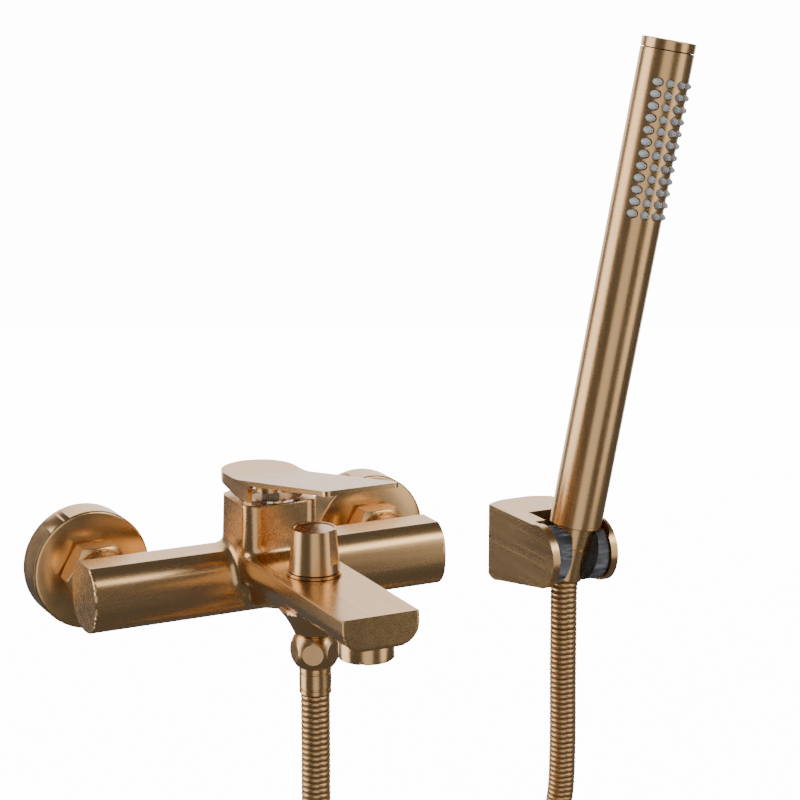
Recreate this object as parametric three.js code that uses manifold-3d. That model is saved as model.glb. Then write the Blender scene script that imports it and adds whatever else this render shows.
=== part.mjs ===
// Wall mounted bath faucet: single-lever mixer with a diverter, hand shower, hose and wall bracket.
// Millimetres. +Z is up, +X is right as the user faces the wall, and -Y points out of the wall.
// The origin is on the wall, midway between the two water connections.
import * as THREE from "three";
import { mergeVertices } from "three/addons/utils/BufferGeometryUtils.js";
import Module from "manifold-3d";

const wasm = await Module();
wasm.setup();

// Clearances
const GAP = 0.3; // between pieces that seat on each other
const RUN = 0.5; // between pieces that move past each other

// Wall connections
const CENTRES = 150; // between the two inlets
const THREAD_R = 10.4; // G1/2 stub
const THREAD_DEPTH = 12; // stub behind the wall
const WATERWAY_R = 6;
const ROSE_R = 29.5; // wall rose
const ROSE_DEPTH = 17.7;
const ROSE_WALL = 1.6;
const UNION_NUT_FLATS = 30;
const UNION_NUT_LENGTH = 13;
const UNION_TAIL_R = 12; // the union's outer end, which the nut slides over

// Bar, tower and spout
const BAR_LENGTH = 184;
const BAR_OUT = 52; // wall to the bar's centre
const BAR_Z = -1.5;
const BAR_HALF_DEPTH = 16.3;
const BAR_HALF_HEIGHT = 17;
const BAR_SQUARENESS = 2.5; // power of the rounded section
const BAR_TOP = 14.3; // the flat top, shared by the spout
const INLET_COLLAR_R = 13.5;
const INLET_COLLAR_LENGTH = 4;
const TOWER_SIDE = 0.5; // how far the tower stands proud of the lever's side
const TOWER_BACK = 40; // wall to the tower's back at its foot
const TOWER_FRONT = 78; // wall to the tower's front
const TOWER_TOP = 39.5;
const TOWER_LEAN = 4; // how far the back face leans in towards the top
const TOWER_CORNER = 7;
const SPOUT_END = 183.5; // wall to the spout's front face
const SPOUT_DEPTH = 15.5; // top face to underside
const SPOUT_CORNER = 10; // round lower edges
const WEB_INSET = 5; // of the web under the spout's root

// Cartridge and lever
const CARTRIDGE_OUT = 62.5; // wall to the cartridge axis
const CARTRIDGE_R = 12.5;
const CARTRIDGE_FLOOR = 4;
const CARTRIDGE_TOP = 33;
const ROTOR_R = 9;
const STEM_HALF = 3.2;
const STEM_PIN_R = 1.6; // the lift axis
const STEM_PIN_REACH = 6;
const PIVOT_Z = 30; // the lever's lift axis
const DRESS_RING_BAND = 2.9; // the ring's reach round the cartridge's bore
const DRESS_RING_HEIGHT = 0.8;
const LEVER_SLOPE = 10.5; // degrees that the paddle rises ahead of its level head
const LEVER_BACK = 32; // behind the cartridge axis
const LEVER_TIP = 103; // ahead of the cartridge axis
const LEVER_PLATE = 2.4;
const HEAD_TOP = 19.7; // lift axis to the head's upper face
const SKIRT_FOOT = 11.8; // lift axis to the skirt's lower edge
const SKIRT_RISE = 9; // degrees that the lower edge rises behind the axis, to clear the tower
const SKIRT_WALL = 2.2;
const SKIRT_ROOM = 0.9; // between the skirt and the dress ring
const SKIRT_FRONT = 15.5; // ahead of the cartridge axis
const TIP_CORNER = 3;
const HUB_R = 7.5; // the boss that the stem fits
const HUB_FOOT = 12.6;
const GRUB_R = 1.4; // the set screw
const LEVER_WIDTH = 2 * (CARTRIDGE_R + DRESS_RING_BAND + SKIRT_ROOM + SKIRT_WALL);
const TOWER_WIDTH = LEVER_WIDTH + 2 * TOWER_SIDE;
const SPOUT_WIDTH = TOWER_WIDTH;

// Diverter
const DIVERTER_OUT = 112.5;
const DIVERTER_BORE_R = 7;
const SPINDLE_R = 4;
const KNOB_FOOT_R = 12;
const KNOB_TOP_R = 10.4;
const KNOB_HEIGHT = 20.6;
const KNOB_RING_R = 12.8;
const KNOB_RING_HEIGHT = 1.6;

// Spout end
const AERATOR_OUT = 168;
const AERATOR_R = 12.7;
const AERATOR_DROP = 8.2; // below the spout's underside
const AERATOR_THREAD_R = 10.6;
const AERATOR_THREAD = 6;

// Hose outlet and hose
const NECK_R = 9.6;
const NECK_DROP = 13; // below the spout's underside
const NECK_FLARE = [[12, 5], [14.2, 8.6], [17.2, 12.4]]; // radius and height above the neck's foot
const HOSE_THREAD_R = 8.6;
const HOSE_THREAD = 11;
const HOSE_NUT_FLATS = 21.4;
const HOSE_NUT_HEIGHT = 15.5;
const FERRULE_R = 7.6;
const FERRULE_LENGTH = 13.5;
const HOSE_R = 7;
const HOSE_BORE_R = 4.5;
const HOSE_SIDES = 10;
const LEG_STEPS = 10;
const COIL_CENTRE = [84.3, -82.8, -221];
const COIL_TURN = 19.4; // degrees from +X to the coil's plane
const COIL_R = 71.5; // centreline of the wound turns
const COIL_TURNS = 2.5;
const COIL_PITCH = 14.8; // strand to strand across the coil
const TIE_WALL = 1.2;
const TIE_WIDTH = 9;

// Wall bracket and holder
const BRACKET_X = 168.7;
const BRACKET_TOP = 2.6;
const BRACKET_FOOT = -37;
const BRACKET_BULGE_R = 31.2; // the back is curved in plan
const BRACKET_CORNER = 12;
const CHEEK = 4;
const CHEEK_ROOM = 1.6; // between the cheeks and the hand shower's barrel
const CHEEK_R = 16.5;
const HOLDER_OUT = 58.5; // wall to the tilt axis
const HOLDER_Z = -12;
const HOLDER_R = 15;
const HOSE_SLOT = 15; // the way in for the hose
const PIN_R = 2;
const PIN_DEPTH = 3;
const TOP_SLOT = 17.4;
const TOP_SLOT_BACK = 30;
const CAVITY_BACK = 39;
const ROOF_FRONT = 48;
const POCKET_DEPTH = 24;
const PLATE_DEPTH = 5;
const SCREW_PITCH = 10;
const SCREW_DROP = 3.5; // of the pair of screws below the plate's middle
const SCREW_R = 2;
const PLUG_R = 3;
const PLUG_LENGTH = 20;
const PLUG_SUNK = 1.5; // behind the wall's face

// Hand shower
const SHOWER_LEAN = 1.6; // degrees out of the wall
const SHOWER_SWAY = 10.5; // degrees to the right, clear of the mixer
const TILT_REACH = 29.5; // degrees from upright to the furthest out
const SHOWER_R = 13.4;
const SHOWER_WALL = 1.4;
const SHOWER_START = 15; // along its axis, above the tilt axis
const SHOWER_LENGTH = 250;
const SHOWER_CAP = 5;
const CONE_TOP_R = 10.6;
const CONE_FOOT_R = 8.3;
const CONE_TOP = 14.5; // above the tilt axis
const CONE_FOOT = -14;
const CONE_BORE_R = 6.2;
const CONE_GASKET = 1.6;
const BALL_R = 4.4; // the hose's swivelling end, on the tilt axis
const BALL_BORE_R = 2.2;
const SOCKET_R = 7.1; // the thread that the cone nut screws on
const SOCKET_BORE_R = 5;
const BARREL_FOOT = 8; // thickness of the barrel's closed foot
const NOZZLE_ROWS = 12;
const NOZZLE_COLUMNS = 4;
const NOZZLE_PITCH = 6;
const NOZZLE_SPREAD = 26.7; // degrees between the columns
const NOZZLE_TOP = 21; // from the top end to the first row
const NOZZLE_R = 2;
const NOZZLE_TIP_R = 1.1;
const NOZZLE_ROOT = 5.2; // how far a nozzle starts behind the barrel's outside
const NOZZLE_REACH = 2.6; // ahead of the barrel's outside

const BRACKET_WIDTH = 2 * (SHOWER_R + CHEEK_ROOM + CHEEK);

const brass = { color: 0xc98f55, roughness: 0.28, metalness: 1 };
const dark = { color: 0x1a1a1c, roughness: 0.6, metalness: 0 };
const grey = { color: 0x83868c, roughness: 0.55, metalness: 0 };
const steel = { color: 0xb9bcc0, roughness: 0.3, metalness: 1 };
const silicone = { color: 0xb9c4d2, roughness: 0.6, metalness: 0 };
const rubber = { color: 0x2b2b2b, roughness: 0.8, metalness: 0 };

const radians = THREE.MathUtils.degToRad;
const spoutFloor = BAR_TOP - SPOUT_DEPTH;

// ---- Geometry helpers ----

// A piece turned about +Z from [radius, z] points, which start and end on the axis or close up.
function lathe(points, segments = 24) {
  const outline = points.map(([r, z]) => new THREE.Vector2(r, z));
  return new THREE.LatheGeometry(outline, segments).rotateX(Math.PI / 2);
}

function disc(r, z0, z1, segments) {
  return lathe([[0, z0], [r, z0], [r, z1], [0, z1]], segments);
}

function tube(inner, outer, z0, z1, segments) {
  return lathe([[inner, z0], [outer, z0], [outer, z1], [inner, z1], [inner, z0]], segments);
}

function box(x0, x1, y0, y1, z0, z1) {
  const made = new THREE.BoxGeometry(x1 - x0, y1 - y0, z1 - z0);
  return made.translate((x0 + x1) / 2, (y0 + y1) / 2, (z0 + z1) / 2);
}

// A flat shape in X and Y, from z0 to z1.
function plate(shape, z0, z1, curveSegments = 5) {
  const options = { depth: z1 - z0, bevelEnabled: false, curveSegments };
  return new THREE.ExtrudeGeometry(shape, options).translate(0, 0, z0);
}

// A shape in Y and Z, from x0 to x1.
function alongX(shape, x0, x1, curveSegments) {
  const turn = new THREE.Matrix4().makeBasis(
    new THREE.Vector3(0, 1, 0),
    new THREE.Vector3(0, 0, 1),
    new THREE.Vector3(1, 0, 0),
  );
  return plate(shape, x0, x1, curveSegments).applyMatrix4(turn);
}

// A piece made along +Z, laid to point out of the wall: its height becomes the distance from the wall.
function outward(geometry) {
  return geometry.rotateX(Math.PI / 2);
}

function roundedRect(x0, x1, y0, y1, r) {
  const s = new THREE.Shape();
  s.moveTo(x0 + r, y0);
  s.lineTo(x1 - r, y0);
  s.absarc(x1 - r, y0 + r, r, -Math.PI / 2, 0);
  s.absarc(x1 - r, y1 - r, r, 0, Math.PI / 2);
  s.absarc(x0 + r, y1 - r, r, Math.PI / 2, Math.PI);
  s.absarc(x0 + r, y0 + r, r, Math.PI, 1.5 * Math.PI);
  return s;
}

function hexagon(flats, z0, z1) {
  const r = flats / Math.sqrt(3);
  const made = new THREE.CylinderGeometry(r, r, z1 - z0, 6).rotateX(Math.PI / 2);
  return made.translate(0, 0, (z0 + z1) / 2);
}

// ---- Joining and cutting ----

function solid(geometry) {
  const bare = geometry.index ? geometry.toNonIndexed() : geometry.clone();
  bare.deleteAttribute("normal");
  bare.deleteAttribute("uv");
  const merged = mergeVertices(bare, 1e-3);
  const vertProperties = merged.attributes.position.array;
  const triVerts = new Uint32Array(merged.index.array);
  return new wasm.Manifold(new wasm.Mesh({ numProp: 3, vertProperties, triVerts }));
}

function geometryOf(made) {
  const { vertProperties, triVerts } = made.getMesh();
  const geometry = new THREE.BufferGeometry();
  geometry.setAttribute("position", new THREE.BufferAttribute(vertProperties, 3));
  geometry.setIndex(new THREE.BufferAttribute(triVerts, 1));
  return geometry;
}

function cut(base, ...tools) {
  return geometryOf(tools.reduce((left, tool) => left.subtract(solid(tool)), solid(base)));
}

function join(...pieces) {
  return geometryOf(pieces.map(solid).reduce((all, next) => all.add(next)));
}

function common(a, b) {
  return geometryOf(solid(a).intersect(solid(b)));
}

const object = new THREE.Group();

// Adds a piece to a group, the whole object unless another is named.
function add(name, geometry, look, group = object) {
  const mesh = new THREE.Mesh(geometry, new THREE.MeshStandardMaterial(look));
  mesh.name = name;
  group.add(mesh);
}

// ---- Mixer body ----

// The bar's rounded section with its flat top, in Y and Z.
function barSection() {
  const points = [];
  const power = 2 / BAR_SQUARENESS;
  for (let i = 0; i < 36; i++) {
    const t = (i / 36) * 2 * Math.PI;
    const y = -BAR_OUT + BAR_HALF_DEPTH * Math.sign(Math.cos(t)) * Math.abs(Math.cos(t)) ** power;
    const z = BAR_Z + BAR_HALF_HEIGHT * Math.sign(Math.sin(t)) * Math.abs(Math.sin(t)) ** power;
    points.push(new THREE.Vector2(y, z));
  }
  return new THREE.Shape(points);
}

function bar() {
  const whole = alongX(barSection(), -BAR_LENGTH / 2, BAR_LENGTH / 2);
  const half = BAR_LENGTH / 2 + 1;
  return cut(whole, box(-half, half, -BAR_OUT - 30, -BAR_OUT + 30, BAR_TOP, BAR_TOP + 20));
}

// The tower stands square to the wall in front and leans in at its back.
function tower() {
  const half = TOWER_WIDTH / 2;
  const made = plate(roundedRect(-half, half, -TOWER_FRONT, -TOWER_BACK, TOWER_CORNER), 0, TOWER_TOP);
  const at = made.attributes.position;
  for (let i = 0; i < at.count; i++) {
    const up = at.getZ(i) / TOWER_TOP;
    const back = (at.getY(i) + TOWER_FRONT) / (TOWER_FRONT - TOWER_BACK);
    at.setY(i, at.getY(i) - TOWER_LEAN * up * back);
  }
  return made;
}

function spout() {
  const half = SPOUT_WIDTH / 2;
  const section = new THREE.Shape();
  section.moveTo(-half, BAR_TOP);
  section.lineTo(-half, spoutFloor + SPOUT_CORNER);
  section.absarc(-half + SPOUT_CORNER, spoutFloor + SPOUT_CORNER, SPOUT_CORNER, Math.PI, 1.5 * Math.PI);
  section.lineTo(half - SPOUT_CORNER, spoutFloor);
  section.absarc(half - SPOUT_CORNER, spoutFloor + SPOUT_CORNER, SPOUT_CORNER, 1.5 * Math.PI, 2 * Math.PI);
  section.lineTo(half, BAR_TOP);
  return outward(plate(section, BAR_OUT, SPOUT_END));
}

// The hose outlet's neck flares into the spout and ends in the hose's thread.
function neck() {
  const foot = spoutFloor - NECK_DROP;
  const made = lathe([
    [0, foot - HOSE_THREAD], [HOSE_THREAD_R, foot - HOSE_THREAD], [HOSE_THREAD_R, foot],
    [NECK_R, foot], ...NECK_FLARE.map(([r, up]) => [r, foot + up]), [0, spoutFloor + 3],
  ]);
  return made.translate(0, -DIVERTER_OUT, 0);
}

// The web under the spout's root, which runs out of the bar's underside.
function rootWeb() {
  const half = SPOUT_WIDTH / 2 - WEB_INSET;
  const s = new THREE.Shape();
  s.moveTo(-BAR_OUT, spoutFloor + 5);
  s.lineTo(-BAR_OUT, BAR_Z - BAR_HALF_HEIGHT + 4);
  s.quadraticCurveTo(-BAR_OUT - BAR_HALF_DEPTH - 4, BAR_Z - BAR_HALF_HEIGHT + 6, -DIVERTER_OUT, spoutFloor);
  s.lineTo(-DIVERTER_OUT, spoutFloor + 5);
  return alongX(s, -half, half, 8);
}

function inletCollar(x) {
  const start = BAR_OUT - BAR_HALF_DEPTH - INLET_COLLAR_LENGTH;
  return outward(disc(INLET_COLLAR_R, start, BAR_OUT, 24)).translate(x, 0, 0);
}

// The ways that the water takes: two inlets to the cartridge, and one outlet past the diverter.
function waterways() {
  const ways = [];
  for (const side of [-1, 1]) {
    const port = side * CARTRIDGE_R * 0.45;
    ways.push(outward(disc(WATERWAY_R, 0, BAR_OUT + 4, 12)).translate(side * (CENTRES / 2), 0, 0));
    const run = disc(WATERWAY_R - 1, Math.abs(port), CENTRES / 2, 12).rotateY((side * Math.PI) / 2);
    ways.push(run.translate(0, -BAR_OUT, BAR_Z));
    ways.push(disc(2.6, BAR_Z, CARTRIDGE_FLOOR + 1, 10).translate(port, -BAR_OUT - 3, 0));
  }
  const level = (BAR_TOP + spoutFloor) / 2;
  ways.push(outward(disc(3.6, CARTRIDGE_OUT + 6, AERATOR_OUT, 12)).translate(0, 0, level));
  const drop = spoutFloor - NECK_DROP - HOSE_THREAD - 1;
  ways.push(disc(DIVERTER_BORE_R, spoutFloor + 2, BAR_TOP + 1, 20).translate(0, -DIVERTER_OUT, 0));
  ways.push(disc(HOSE_BORE_R, drop, spoutFloor + 3, 12).translate(0, -DIVERTER_OUT, 0));
  const thread = disc(AERATOR_THREAD_R, spoutFloor - 1, spoutFloor + AERATOR_THREAD, 24);
  ways.push(thread.translate(0, -AERATOR_OUT, 0));
  ways.push(disc(5, spoutFloor, level, 12).translate(0, -AERATOR_OUT, 0));
  ways.push(disc(CARTRIDGE_R + GAP, CARTRIDGE_FLOOR, TOWER_TOP + 1, 28).translate(0, -CARTRIDGE_OUT, 0));
  return ways;
}

const collars = [inletCollar(-CENTRES / 2), inletCollar(CENTRES / 2)];
add("mixer_body", cut(join(bar(), tower(), spout(), rootWeb(), neck(), ...collars), ...waterways()), brass);

// ---- Wall connections ----

const collarFace = BAR_OUT - BAR_HALF_DEPTH - INLET_COLLAR_LENGTH;
const nutStart = collarFace - UNION_NUT_LENGTH - GAP;

// The union screws into the wall, and its flanged tail is drawn to the bar by the nut.
function wallUnion() {
  const lip = collarFace - 2.6;
  return outward(lathe([
    [WATERWAY_R, -THREAD_DEPTH], [THREAD_R, -THREAD_DEPTH], [THREAD_R, 0], [UNION_TAIL_R, 2],
    [UNION_TAIL_R, lip - 2], [UNION_TAIL_R + 1, lip], [UNION_TAIL_R + 1, collarFace - 1.9],
    [WATERWAY_R, collarFace - 1.9], [WATERWAY_R, -THREAD_DEPTH],
  ], 24));
}

function rose() {
  const hole = UNION_TAIL_R + 1.6;
  return outward(lathe([
    [ROSE_R - ROSE_WALL, 0.2], [ROSE_R, 0.2], [ROSE_R, ROSE_DEPTH], [hole, ROSE_DEPTH],
    [hole, ROSE_DEPTH - ROSE_WALL], [ROSE_R - ROSE_WALL, ROSE_DEPTH - ROSE_WALL], [ROSE_R - ROSE_WALL, 0.2],
  ], 36));
}

function unionNut() {
  const hex = hexagon(UNION_NUT_FLATS, nutStart, collarFace - GAP);
  const seat = collarFace - 5;
  return outward(cut(
    hex,
    disc(UNION_TAIL_R + RUN, nutStart - 1, collarFace, 24),
    disc(UNION_TAIL_R + 1 + RUN, seat, collarFace, 24),
  ));
}

function inletGasket() {
  return outward(tube(WATERWAY_R, UNION_TAIL_R, collarFace - 1.6, collarFace - GAP, 20));
}

for (const [side, x] of [["left", -CENTRES / 2], ["right", CENTRES / 2]]) {
  add(side + "_wall_union", wallUnion().translate(x, 0, 0), brass);
  add(side + "_wall_rose", rose().translate(x, 0, 0), brass);
  add(side + "_union_nut", unionNut().translate(x, 0, 0), brass);
  add(side + "_inlet_gasket", inletGasket().translate(x, 0, 0), rubber);
}

// ---- Cartridge and lever ----

// The ceramic cartridge's case stands on the bore's floor and is held by the nut above it.
function cartridgeCase() {
  const rotorFloor = PIVOT_Z - 12;
  return lathe([
    [0, CARTRIDGE_FLOOR + GAP], [CARTRIDGE_R, CARTRIDGE_FLOOR + GAP], [CARTRIDGE_R, CARTRIDGE_TOP],
    [ROTOR_R + RUN, CARTRIDGE_TOP], [ROTOR_R + RUN, rotorFloor], [0, rotorFloor],
  ]).translate(0, -CARTRIDGE_OUT, 0);
}

function rotor() {
  const floor = PIVOT_Z - 12 + GAP;
  const cup = STEM_HALF + 3.4;
  const reach = STEM_PIN_REACH + GAP;
  const made = cut(
    disc(ROTOR_R, floor, CARTRIDGE_TOP - 0.4),
    box(-STEM_HALF - RUN, STEM_HALF + RUN, -cup, cup, floor + 2, CARTRIDGE_TOP + 1),
    disc(STEM_PIN_R + GAP, -reach, reach, 12).rotateY(Math.PI / 2).translate(0, 0, PIVOT_Z),
  );
  return made.translate(0, -CARTRIDGE_OUT, 0);
}

function cartridgeNut() {
  const foot = CARTRIDGE_TOP + GAP;
  return tube(ROTOR_R + RUN, CARTRIDGE_R, foot, TOWER_TOP - 0.6).translate(0, -CARTRIDGE_OUT, 0);
}

// The dress ring lies on the tower's top round the bore.
function dressRing() {
  const foot = TOWER_TOP + GAP;
  const made = tube(CARTRIDGE_R - 0.5, CARTRIDGE_R + DRESS_RING_BAND, foot, foot + DRESS_RING_HEIGHT, 36);
  return made.translate(0, -CARTRIDGE_OUT, 0);
}

add("cartridge_case", cartridgeCase(), dark);
add("cartridge_nut", cartridgeNut(), brass);
add("dress_ring", dressRing(), steel);
add("cartridge_rotor", rotor(), dark);

// The lever's own frame has its origin on the lift axis.
const lever = new THREE.Group();
lever.position.set(0, -CARTRIDGE_OUT, PIVOT_Z);
object.add(lever);

const headUnder = HEAD_TOP - LEVER_PLATE;
const screwZ = headUnder - 2.2;

// The plate's height ahead of the lift axis.
function paddleRise(ahead) {
  return ahead * Math.tan(radians(LEVER_SLOPE));
}

// The lever's plan, drawn in from its edge: round behind, with small corners at the tip.
function leverPlan(inset, tip) {
  const half = LEVER_WIDTH / 2 - inset;
  const s = new THREE.Shape();
  const c = TIP_CORNER;
  s.moveTo(-half + c, -tip);
  s.lineTo(half - c, -tip);
  s.lineTo(half, -tip + c);
  s.absarc(0, LEVER_BACK - LEVER_WIDTH / 2, half, 0, Math.PI);
  s.lineTo(-half, -tip + c);
  return plate(s, 0, 2 * LEVER_TIP, 12);
}

// The plate's side view: level behind the axis and rising ahead of it.
function plateSide() {
  const tipTop = HEAD_TOP + paddleRise(LEVER_TIP);
  const s = new THREE.Shape();
  s.moveTo(LEVER_BACK, HEAD_TOP);
  s.lineTo(0, HEAD_TOP);
  s.lineTo(-LEVER_TIP, tipTop);
  s.lineTo(-LEVER_TIP, tipTop - LEVER_PLATE);
  s.lineTo(0, headUnder);
  s.lineTo(LEVER_BACK, headUnder);
  return s;
}

// The skirt's side view: its lower edge is level ahead of the axis and rises behind it.
function skirtSide() {
  const into = LEVER_PLATE / 2;
  const s = new THREE.Shape();
  s.moveTo(LEVER_BACK, HEAD_TOP - into);
  s.lineTo(0, HEAD_TOP - into);
  s.lineTo(-SKIRT_FRONT, HEAD_TOP - into + paddleRise(SKIRT_FRONT));
  s.lineTo(-SKIRT_FRONT, SKIRT_FOOT);
  s.lineTo(0, SKIRT_FOOT);
  s.lineTo(LEVER_BACK, SKIRT_FOOT + LEVER_BACK * Math.tan(radians(SKIRT_RISE)));
  return s;
}

function leverHandle() {
  const half = LEVER_WIDTH / 2 + 1;
  const flat = common(leverPlan(0, LEVER_TIP), alongX(plateSide(), -half, half));
  const block = common(leverPlan(0, LEVER_TIP), alongX(skirtSide(), -half, half));
  const skirt = cut(block, leverPlan(SKIRT_WALL, LEVER_TIP));
  const hub = disc(HUB_R, HUB_FOOT, headUnder + 1, 20);
  const h = STEM_HALF + GAP;
  const socket = box(-h, h, -h, h, HUB_FOOT - 1, headUnder - 1);
  const screwHole = outward(disc(GRUB_R + GAP, 0, HUB_R + 1, 10)).translate(0, 0, screwZ);
  return cut(join(flat, skirt, hub), socket, screwHole);
}

function stem() {
  return join(
    box(-STEM_HALF, STEM_HALF, -STEM_HALF, STEM_HALF, -6, headUnder - 1.3),
    disc(STEM_PIN_R, -STEM_PIN_REACH, STEM_PIN_REACH, 12).rotateY(Math.PI / 2),
  );
}

// The set screw holds the stem from the hub's front, and a plug closes its hole.
function grub(from, to) {
  return outward(disc(GRUB_R, from, to, 10)).translate(0, 0, screwZ);
}

add("lever_handle", leverHandle(), brass, lever);
add("cartridge_stem", stem(), steel, lever);
add("lever_set_screw", grub(STEM_HALF + GAP, HUB_R - 1.5), steel, lever);
add("lever_screw_plug", grub(HUB_R - 1.2, HUB_R + 0.2), rubber, lever);

// ---- Diverter ----

function diverterCase() {
  const made = tube(SPINDLE_R + GAP, DIVERTER_BORE_R - GAP, spoutFloor + 9, BAR_TOP - 0.4, 20);
  return made.translate(0, -DIVERTER_OUT, 0);
}

function diverterSpindle() {
  const z = BAR_TOP + KNOB_RING_HEIGHT + KNOB_HEIGHT;
  const spindle = disc(SPINDLE_R, spoutFloor + 4, z - 9, 20);
  const waterPort = outward(disc(2.4, -9, 0, 10)).translate(0, 0, spoutFloor + 6.5);
  return cut(spindle, waterPort).translate(0, -DIVERTER_OUT, 0);
}

function diverterRing() {
  const foot = BAR_TOP + GAP;
  const made = tube(SPINDLE_R + RUN, KNOB_RING_R, foot, BAR_TOP + KNOB_RING_HEIGHT, 36);
  return made.translate(0, -DIVERTER_OUT, 0);
}

// The knob tapers, is bored for the spindle, and has a flat for the thumb.
function diverterKnob() {
  const foot = BAR_TOP + KNOB_RING_HEIGHT + GAP;
  const top = BAR_TOP + KNOB_RING_HEIGHT + KNOB_HEIGHT;
  const cone = lathe([[0, foot], [KNOB_FOOT_R, foot], [KNOB_TOP_R, top], [0, top]], 36);
  const bore = disc(SPINDLE_R + GAP, foot - 1, top - 9 + GAP, 20);
  const thumb = box(3, 14, -14, -7.6, foot + 4.4, top + 1);
  return cut(cone, bore, thumb).translate(0, -DIVERTER_OUT, 0);
}

add("diverter_case", diverterCase(), dark);
add("diverter_ring", diverterRing(), brass);
add("diverter_spindle", diverterSpindle(), steel);
add("diverter_knob", diverterKnob(), brass);

// ---- Aerator ----

const aeratorTop = spoutFloor - GAP;

function aeratorHousing() {
  const foot = spoutFloor - AERATOR_DROP;
  const bore = AERATOR_R - 3.2;
  return lathe([
    [bore, foot], [AERATOR_R, foot], [AERATOR_R, aeratorTop], [AERATOR_THREAD_R - GAP, aeratorTop],
    [AERATOR_THREAD_R - GAP, spoutFloor + 4], [bore - 1, spoutFloor + 4], [bore - 1, foot + 3],
    [bore, foot + 3], [bore, foot],
  ], 32).translate(0, -AERATOR_OUT, 0);
}

// The insert breaks the stream up in a ring of slots round a solid centre.
function aeratorInsert() {
  const foot = spoutFloor - AERATOR_DROP + 3 + GAP;
  const outer = AERATOR_R - 4.2 - GAP;
  const slots = Array.from({ length: 8 }, (_, i) =>
    box(3.4, outer - 1.6, -0.9, 0.9, foot - 1, foot + 9).rotateZ((i * Math.PI) / 4));
  return cut(disc(outer, foot, spoutFloor + 3, 20), ...slots).translate(0, -AERATOR_OUT, 0);
}

add("aerator_housing", aeratorHousing(), brass);
add("aerator_insert", aeratorInsert(), grey);

// ---- Hose outlet ----

const neckFoot = spoutFloor - NECK_DROP;
const nutTop = neckFoot - GAP;
const nutFoot = nutTop - HOSE_NUT_HEIGHT;
const threadFoot = neckFoot - HOSE_THREAD;
const tailTop = threadFoot - 1.9 - GAP;

function hoseNut() {
  const hex = hexagon(HOSE_NUT_FLATS, nutFoot, nutTop);
  const bore = disc(HOSE_THREAD_R + GAP, nutFoot + 1.6, nutTop + 1, 24);
  const hole = disc(FERRULE_R - 1.4, nutFoot - 1, nutTop, 20);
  return cut(hex, bore, hole).translate(0, -DIVERTER_OUT, 0);
}

// The hose's tail is flanged inside the nut, and its sleeve is pressed on the hose below it.
function ferrule() {
  const sleeveTop = nutFoot - GAP;
  const foot = sleeveTop - FERRULE_LENGTH;
  const flange = nutFoot + 1.6 + GAP;
  return lathe([
    [HOSE_BORE_R, foot], [FERRULE_R, foot], [FERRULE_R, sleeveTop],
    [FERRULE_R - 1.8, sleeveTop], [FERRULE_R - 1.8, flange], [HOSE_THREAD_R, flange],
    [HOSE_THREAD_R, tailTop], [HOSE_BORE_R, tailTop], [HOSE_BORE_R, foot],
  ], 24).translate(0, -DIVERTER_OUT, 0);
}

function hoseGasket() {
  const made = tube(HOSE_BORE_R, HOSE_THREAD_R - GAP, threadFoot - 1.9, threadFoot - GAP, 20);
  return made.translate(0, -DIVERTER_OUT, 0);
}

add("hose_nut", hoseNut(), brass);
add("hose_gasket", hoseGasket(), rubber);
add("hose_ferrule", ferrule(), brass);

// ---- Hose ----

const hoseStart = nutFoot - GAP - FERRULE_LENGTH - GAP;

function coilPlaced(geometry) {
  return geometry.rotateX(Math.PI / 2).rotateZ(radians(COIL_TURN)).translate(...COIL_CENTRE);
}

// The ring that the wound turns fill, grown by a clearance.
function coilRing(grow) {
  const width = (COIL_TURNS * COIL_PITCH) / 2 + HOSE_R + grow;
  return coilPlaced(tube(COIL_R - HOSE_R - grow, COIL_R + HOSE_R + grow, -width, width, 40));
}

function hoseLeg(points) {
  const section = new THREE.Shape(
    Array.from({ length: HOSE_SIDES }, (_, i) => {
      const t = (i / HOSE_SIDES) * 2 * Math.PI;
      return new THREE.Vector2(HOSE_R * Math.cos(t), HOSE_R * Math.sin(t));
    }),
  );
  const extrudePath = new THREE.CatmullRomCurve3(points.map((p) => new THREE.Vector3(...p)));
  const made = new THREE.ExtrudeGeometry(section, { steps: LEG_STEPS, bevelEnabled: false, extrudePath });
  return cut(made, coilRing(GAP));
}

// From the mixer's outlet down to the coil's near side.
const mixerLeg = [
  [0, -DIVERTER_OUT, hoseStart], [0, -DIVERTER_OUT, -100], [1.5, -113, -135],
  [8, -116, -168], [17, -121, -197], [23.1, -124, -221],
];

// From the hand shower's cone down to the coil's far side.
const showerLeg = [
  [165.9, -57.8, -29.8], [165.9, -57.8, -34], [165.9, -57.8, -45], [166, -57.8, -75], [166.3, -58, -120],
  [166, -56.6, -145], [163, -53.2, -168], [157.5, -48.4, -190], [150.5, -44, -207], [145.6, -41.5, -221],
];

// A strap round the strands, at an angle round the coil.
function coilTie(angle) {
  const across = (COIL_TURNS * COIL_PITCH) / 2 + HOSE_R + GAP;
  const through = HOSE_R + GAP + 0.3;
  const w = TIE_WALL;
  const half = TIE_WIDTH / 2;
  const outer = box(COIL_R - through - w, COIL_R + through + w, -half, half, -across - w, across + w);
  const inner = box(COIL_R - through, COIL_R + through, -half - 1, half + 1, -across, across);
  return coilPlaced(cut(outer, inner).rotateZ(radians(angle)));
}

add("hose_mixer_leg", hoseLeg(mixerLeg), brass);
add("hose_shower_leg", hoseLeg(showerLeg), brass);
add("hose_coil", coilRing(0), brass);
add("coil_tie_top", coilTie(90), dark);
add("coil_tie_bottom", coilTie(-90), dark);

// ---- Wall bracket ----

const bracketLeft = BRACKET_X - BRACKET_WIDTH / 2;
const bracketRight = BRACKET_X + BRACKET_WIDTH / 2;
const cheekInside = BRACKET_WIDTH / 2 - CHEEK;

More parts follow.
